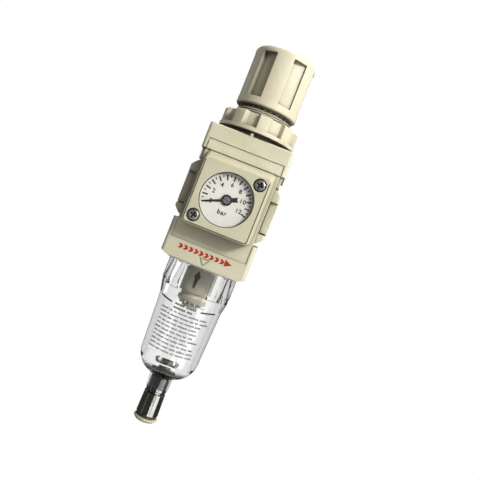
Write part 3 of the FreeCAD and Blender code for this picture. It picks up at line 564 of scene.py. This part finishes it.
# ------------------------------------------------------------------ springs
DEAD_TURNS = 0.9        # at each end, where the wire lies on itself
COIL_STEPS = 36         # along one turn
WIRE_SIDES = 10
GROUND_OFF = 0.3        # share of the wire's radius ground off at each end


def coil_height(n, turns, wire, z0, z1):
    """Height of the wire's middle after n turns: flat at both ends, even between them."""
    rise = 2 * wire * DEAD_TURNS
    if n < DEAD_TURNS:
        return z0 + 2 * wire * n
    if n > turns + DEAD_TURNS:
        return z1 - 2 * wire * (turns + 2 * DEAD_TURNS - n)
    return z0 + rise + (z1 - z0 - 2 * rise) * (n - DEAD_TURNS) / turns


def build_spring(name, node, wire, turns):
    """Round wire coil with closed, ground ends, built in place of the CAD spring, which it hides.
    Wire is the wire's radius in millimetres."""
    low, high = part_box(node)
    wire *= MM
    r = (high.x - low.x) / 2 - wire
    count = int((turns + 2 * DEAD_TURNS) * COIL_STEPS)
    rows = []
    for i in range(count + 1):
        n = (turns + 2 * DEAD_TURNS) * i / count
        z = coil_height(n, turns, wire, low.z + wire, high.z - wire)
        out = Vector((math.cos(2 * math.pi * n), math.sin(2 * math.pi * n), 0.0))
        row = []
        for t in full_turn(WIRE_SIDES):
            point = out * (r + wire * math.cos(t)) + Vector((0, 0, z + wire * math.sin(t)))
            point.z = min(max(point.z, low.z + GROUND_OFF * wire), high.z - GROUND_OFF * wire)
            row.append(point)
        rows.append(row)
    shape = Solid()
    shape.loops(rows)
    coil = mesh_object(name, shape.verts, shape.faces, looks["steel"])
    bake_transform(coil)
    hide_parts(node)


# ------------------------------------------------------------------ bowl print
# Millimetres and degrees from the front.
BOWL_TOP_Z, BOWL_TOP_R = -47.0, 14.4        # the tapered wall, from under the collar
BOWL_LOW_Z, BOWL_LOW_R = -71.0, 13.3        # down to where it turns in
BOWL_TAPER = (BOWL_TOP_R - BOWL_LOW_R) / (BOWL_TOP_Z - BOWL_LOW_Z)

LEVEL_LINES = (         # both ends of each, as angle and height
    ((-58.0, -46.9), (-27.0, -47.7)),
    ((27.0, -47.7), (58.0, -46.9)),
    ((150.0, -47.6), (205.0, -47.6)),
)

LABEL_ROWS = 13
TITLE_ROWS = 2
LABEL_TOP_Z = -47.6
ROW_PITCH = 1.74
DASH_GAP = 0.16

GROOVE_MIDDLES = (37.5, 90.0, 142.5, 217.5, 270.0, 322.5)
GROOVE_HALF = 13.5
GROOVE_FLOOR_R = 14.7
GROOVE_FOOT_Z = -41.55


def bowl_radius(z):
    """Outside radius of the bowl's tapered wall at a height, both in millimetres."""
    return BOWL_LOW_R + BOWL_TAPER * (z - BOWL_LOW_Z)


def build_level_lines():
    """Level mark either side of its title, rising a little outward; a third line at the back."""
    steps, half, sunk, proud = 12, 0.32, 0.02, 0.12
    lines = Solid()
    for (a0, z0), (a1, z1) in LEVEL_LINES:
        rows = []
        for i in range(steps + 1):
            a = math.radians(a0 + (a1 - a0) * i / steps)
            z = z0 + (z1 - z0) * i / steps
            inner, outer = bowl_radius(z) - sunk, bowl_radius(z) + proud
            section = ((inner, z - half), (outer, z - half), (outer, z + half), (inner, z + half))
            rows.append([(r * math.sin(a), -r * math.cos(a), height) for r, height in scaled(section)])
        lines.loops(rows)
    lines.piece("bowl_level_lines", dark_print_and_painted_shade, "bowl", "clear_bowl")


def build_label():
    """Greeked notes: rows of words made of plain upright dashes, none of them a letter."""
    rng = random.Random(683)
    dashes = Solid()
    for row in range(LABEL_ROWS):
        z = LABEL_TOP_Z - row * ROW_PITCH
        r = bowl_radius(z)
        if row < TITLE_ROWS:
            a, stop = -20.0, 15.0
            half_height, half_width, word_gap = 0.42, 0.26, 0.75
        else:
            a, stop = -46.0 + rng.uniform(0, 3), 34.0 + rng.uniform(-9, 9)
            half_height, half_width, word_gap = 0.3, 0.17, 0.55
        while a < stop:
            for _ in range(rng.randint(3, 8)):
                width = math.degrees(rng.uniform(0.8, 1.5) * half_width * 2 / r)
                rise = rng.choice((0.0, 0.0, 0.12, -0.1))
                low, high = z - half_height + min(rise, 0), z + half_height + max(rise, 0)
                dashes.bent((r - 0.01) * MM, (r + 0.03) * MM, a, a + width, low * MM, high * MM,
                            taper=BOWL_TAPER)
                a += width + math.degrees(DASH_GAP / r)
            a += math.degrees(word_gap / r)
    dashes.piece("bowl_label_bars", print_grey, "bowl", "clear_bowl")


def build_bowl_arrow():
    """Dark arrow with its tip up, on the front of the collar."""
    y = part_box("bowl")[0].y
    right = [(0, -31.15), (1.42, -33.65), (0.8, -34.7), (0.42, -38.65)]
    left = [(-x, z) for x, z in reversed(right[1:])]
    arrow = Solid()
    arrow.prism_y(scaled(right + left), y - 0.04 * MM, y + 0.02 * MM)
    arrow.piece("bowl_arrow_film", dark_print_and_painted_shade, "bowl", "clear_bowl")


def build_groove_ends():
    """Painted shadow: dark marks at the foot of the collar's grip grooves, each of three steps, standing
    for the shade at the grooves' ends.
    """
    stairs = ((3.6, 1.0), (2.4, 2.0), (1.2, 3.6))       # width in degrees, height
    inset = 0.1
    corners = Solid()
    for middle in GROOVE_MIDDLES:
        for s in (-1, 1):
            for width, height in stairs:
                a0, a1 = sorted(middle + s * (GROOVE_HALF - away) for away in (width, inset))
                corners.bent((GROOVE_FLOOR_R - 0.02) * MM, (GROOVE_FLOOR_R + 0.05) * MM, a0, a1,
                             GROOVE_FOOT_Z * MM, (GROOVE_FOOT_Z + height) * MM, steps=2)
    corners.piece("bowl_groove_end_shades", dark_print_and_painted_shade, "bowl", "clear_bowl")


def build_floor_rings():
    """Painted dark rings where the bowl's wall turns into its floor, standing for the dark edges that the
    clear plastic shows there.
    """
    rings = Solid()
    for r, z, wire in ((8.3, -78.5, 0.3), (6.6, -78.85, 0.14), (10.25, -77.45, 0.2)):
        section = scaled(((r - wire, z), (r, z - wire), (r + wire, z), (r, z + wire)))
        rings.loops([[(radius * math.cos(a), radius * math.sin(a), height) for radius, height in section]
                     for a in full_turn(72)], closed=True)
    rings.piece("bowl_floor_rings", dark_print_and_painted_shade, "bowl", "clear_bowl")


# ------------------------------------------------------------------ body print and threads
def build_flow_mark():
    """Generic flow sign in red: a run of slanted bars that ends in an arrow head."""
    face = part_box("body")[0].y
    y0, y1 = face - 0.035 * MM, face + 0.02 * MM
    start, pitch, bars = -12.4, 2.3, 9
    mid, half, width, slant = -24.2, 1.0, 1.35, 0.9
    mark = Solid()
    for i in range(bars):
        left = start + i * pitch
        right = left + width
        mark.prism_y(scaled([(left, mid - half), (right, mid - half), (right + slant, mid),
                             (right, mid + half), (left, mid + half), (left + slant, mid)]), y0, y1)
    neck = start + bars * pitch
    mark.prism_y(scaled([(neck, mid - 1.5), (neck + 3.2, mid), (neck, mid + 1.5)]), y0, y1)
    mark.piece("body_flow_mark", print_red, "base", "cream_paint")


def build_port_threads(side, name):
    """Rings that stand in for the female thread just inside one port; side is -1 or 1."""
    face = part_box("body")[1 if side > 0 else 0].x
    count, first, pitch = 7, 0.9, 1.337
    root_r, crest_r, half = 5.74, 5.4, 0.42
    threads = Solid()
    for k in range(count):
        x = face - side * (first + k * pitch) * MM
        section = ((x - half * MM, root_r), (x, crest_r), (x + half * MM, root_r), (x, root_r + 0.05))
        threads.loops([[(along, r * MM * math.cos(a), r * MM * math.sin(a)) for along, r in section]
                       for a in full_turn(48)], closed=True)
    threads.piece(name, looks["aluminium"], "base", "aluminium")


build_dial_print()
build_pointer_hub()
build_window_gasket()
build_screw_cups()
build_spring("regulating_coil", "regulating_spring", 0.9, 4.2)
build_spring("valve_coil", "valve_spring", 0.35, 3.0)
build_spring("drain_coil", "drain_spring", 0.3, 5.0)
build_level_lines()
build_label()
build_bowl_arrow()
build_groove_ends()
build_floor_rings()
build_flow_mark()
build_port_threads(-1, "inlet_threads")
build_port_threads(1, "outlet_threads")


# ------------------------------------------------------------------ stage, light and camera
FLOOR_GLOW = 0.08       # how bright the floor is for anything but the camera
WALL_GLOW = 0.8         # brightness of the backdrop for rays turned back inside a clear wall
FLOOR_DROP = 0.22       # the unit hangs on its inlet pipe, this far above the floor
CAMERA_PLACE = (0.0179, -0.2420, -0.0086)
CAMERA_TURN = (88.81, -21.66, 2.26)     # degrees: almost level, and rolled so that the unit leans
LENS = 40.98            # millimetres, on a sensor 36 wide


def straight_view(tree):
    """1 for rays straight from the camera or through clear pieces, a little less once turned back
    inside a clear wall, and 0 for light that has met anything else."""
    depth = tree.nodes.new("ShaderNodeLightPath").outputs
    never_scattered = math_node(tree, "LESS_THAN", depth["Diffuse Depth"], 0.5)
    never_mirrored = math_node(tree, "LESS_THAN", depth["Glossy Depth"], 0.5)
    has_entered = math_node(tree, "GREATER_THAN", depth["Transmission Depth"], 0.5)
    is_within_two = math_node(tree, "LESS_THAN", depth["Transmission Depth"], 2.5)
    in_one_wall = math_node(tree, "MULTIPLY", has_entered, is_within_two)
    turned_back = math_node(tree, "MULTIPLY", in_one_wall, WALL_GLOW)
    share = math_node(tree, "MAXIMUM", never_mirrored, turned_back)
    return math_node(tree, "MULTIPLY", never_scattered, share)


def floor_look():
    """Pale matt floor that glows white for straight view, and fully so away from the unit."""
    g = Graph("floor")
    g.feed("Base Color", g.mix(g.noise(6.0), (0.93, 0.93, 0.92), (0.96, 0.96, 0.955)))
    g.set(Roughness=0.9)
    g.bump(g.noise(260.0), 0.2 * MM, 0.1)
    distance = g.node("ShaderNodeVectorMath", operation="LENGTH")
    g.link(g.coords, distance.inputs[0])
    glow = g.node("ShaderNodeEmission")
    glow.inputs[0].default_value = (1, 1, 1, 1)
    g.link(g.remap(straight_view(g.tree), 0.0, 1.0, FLOOR_GLOW, 1.0), glow.inputs[1])
    fade = g.node("ShaderNodeMixShader")
    g.link(g.remap(distance.outputs["Value"], 0.12, 0.6, 0.93, 1.0), fade.inputs[0])
    g.link(g.bsdf.outputs[0], fade.inputs[1])
    g.link(glow.outputs[0], fade.inputs[2])
    g.link(fade.outputs[0], g.out.inputs[0])
    return g.material


def build_floor():
    """Round floor, far wider than the view. To the camera it is as white as the backdrop."""
    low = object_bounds()[0].z - FLOOR_DROP
    steps = 96
    radii = (0.1, 0.3, 0.8, 2.0, 6.0)
    verts = [(0, 0, low)]
    for r in radii:
        verts += [(r * math.cos(a), r * math.sin(a), low) for a in full_turn(steps)]
    faces = [(0, 1 + i, 1 + (i + 1) % steps) for i in range(steps)]
    for k in range(len(radii) - 1):
        a, b = 1 + k * steps, 1 + (k + 1) * steps
        faces += [(a + i, b + i, b + (i + 1) % steps, a + (i + 1) % steps) for i in range(steps)]
    mesh_object("floor", verts, faces, floor_look())


def build_world():
    """White where the camera looks, straight or through the bowl; darker from the left for all else."""
    world = bpy.data.worlds.new("studio")
    bpy.context.scene.world = world
    world.use_nodes = True
    tree = world.node_tree
    tree.nodes.clear()
    new, link = tree.nodes.new, tree.links.new
    out = new("ShaderNodeOutputWorld")
    seen = new("ShaderNodeBackground")
    seen.inputs[0].default_value = (1, 1, 1, 1)
    coords = new("ShaderNodeTexCoord")
    split = new("ShaderNodeSeparateXYZ")
    link(coords.outputs["Generated"], split.inputs[0])
    path = new("ShaderNodeLightPath")

    def side_lit(dark_until, bright_from, low, high):
        """Backdrop that brightens from left to right between two places along X."""
        ramp = new("ShaderNodeMapRange")
        ramp.interpolation_type = "SMOOTHSTEP"
        set_range(ramp, dark_until, bright_from, low, high)
        link(split.outputs["X"], ramp.inputs["Value"])
        shade = new("ShaderNodeBackground")
        shade.inputs[0].default_value = (1.0, 0.99, 0.96, 1)
        link(ramp.outputs[0], shade.inputs[1])
        return shade

    diffuse = side_lit(dark_until=-0.9, bright_from=0.9, low=0.08, high=0.42)
    glossy = side_lit(dark_until=0.45, bright_from=0.8, low=0.05, high=1.3)
    pick = new("ShaderNodeMixShader")
    link(path.outputs["Is Glossy Ray"], pick.inputs[0])
    link(diffuse.outputs[0], pick.inputs[1])
    link(glossy.outputs[0], pick.inputs[2])
    switch = new("ShaderNodeMixShader")
    link(straight_view(tree), switch.inputs[0])
    link(pick.outputs[0], switch.inputs[1])
    link(seen.outputs[0], switch.inputs[2])
    link(switch.outputs[0], out.inputs[0])


def add_area(name, place, aim, size, power, tint=(1, 1, 1), size_y=None):
    """Area lamp aimed at a point; size_y makes it a rectangle."""
    data = bpy.data.lights.new(name, "AREA")
    data.energy = power
    data.color = tint
    data.size = size
    if size_y:
        data.shape = "RECTANGLE"
        data.size_y = size_y
    lamp = bpy.data.objects.new(name, data)
    bpy.context.scene.collection.objects.link(lamp)
    lamp.location = place
    lamp.rotation_euler = (Vector(aim) - Vector(place)).to_track_quat("-Z", "Y").to_euler()


def build_camera():
    data = bpy.data.cameras.new("camera")
    data.sensor_width = 36.0
    data.lens = LENS
    data.clip_start = 0.01
    data.clip_end = 20.0
    camera = bpy.data.objects.new("camera", data)
    bpy.context.scene.collection.objects.link(camera)
    camera.location = CAMERA_PLACE
    camera.rotation_euler = [math.radians(turn) for turn in CAMERA_TURN]
    bpy.context.scene.camera = camera


build_floor()
build_world()
add_area("key", (0.38, -0.42, 0.34), (0, 0, 0), 0.15, 4.0, (1.0, 0.985, 0.95))
add_area("right_wall", (0.38, -0.24, -0.24), (0, 0, -0.07), 0.3, 1.3, (1.0, 0.99, 0.97), size_y=0.42)
add_area("front_fill", (0.12, -0.6, 0.5), (0, 0, 0), 0.3, 0.5, (0.98, 1.0, 0.98))
add_area("low_fill", (0.22, -0.48, -0.34), (0, 0, -0.04), 0.2, 0.5)
add_area("left_rim", (-0.5, 0.25, 0.14), (0, 0, 0), 0.3, 0.4)
add_area("top", (0.1, 0.0, 0.5), (0, 0, 0.02), 0.25, 0.9)
add_area("hood_glint", (-0.05, 0.46, 0.40), (0, 0, 0), 0.1, 1.2)
add_area("left_strip", (-0.42, -0.34, -0.12), (0, 0, -0.06), 0.03, 0.04, size_y=0.6)
build_camera()

scene = bpy.context.scene
scene.view_settings.view_transform = "Standard"
scene.view_settings.look = "None"
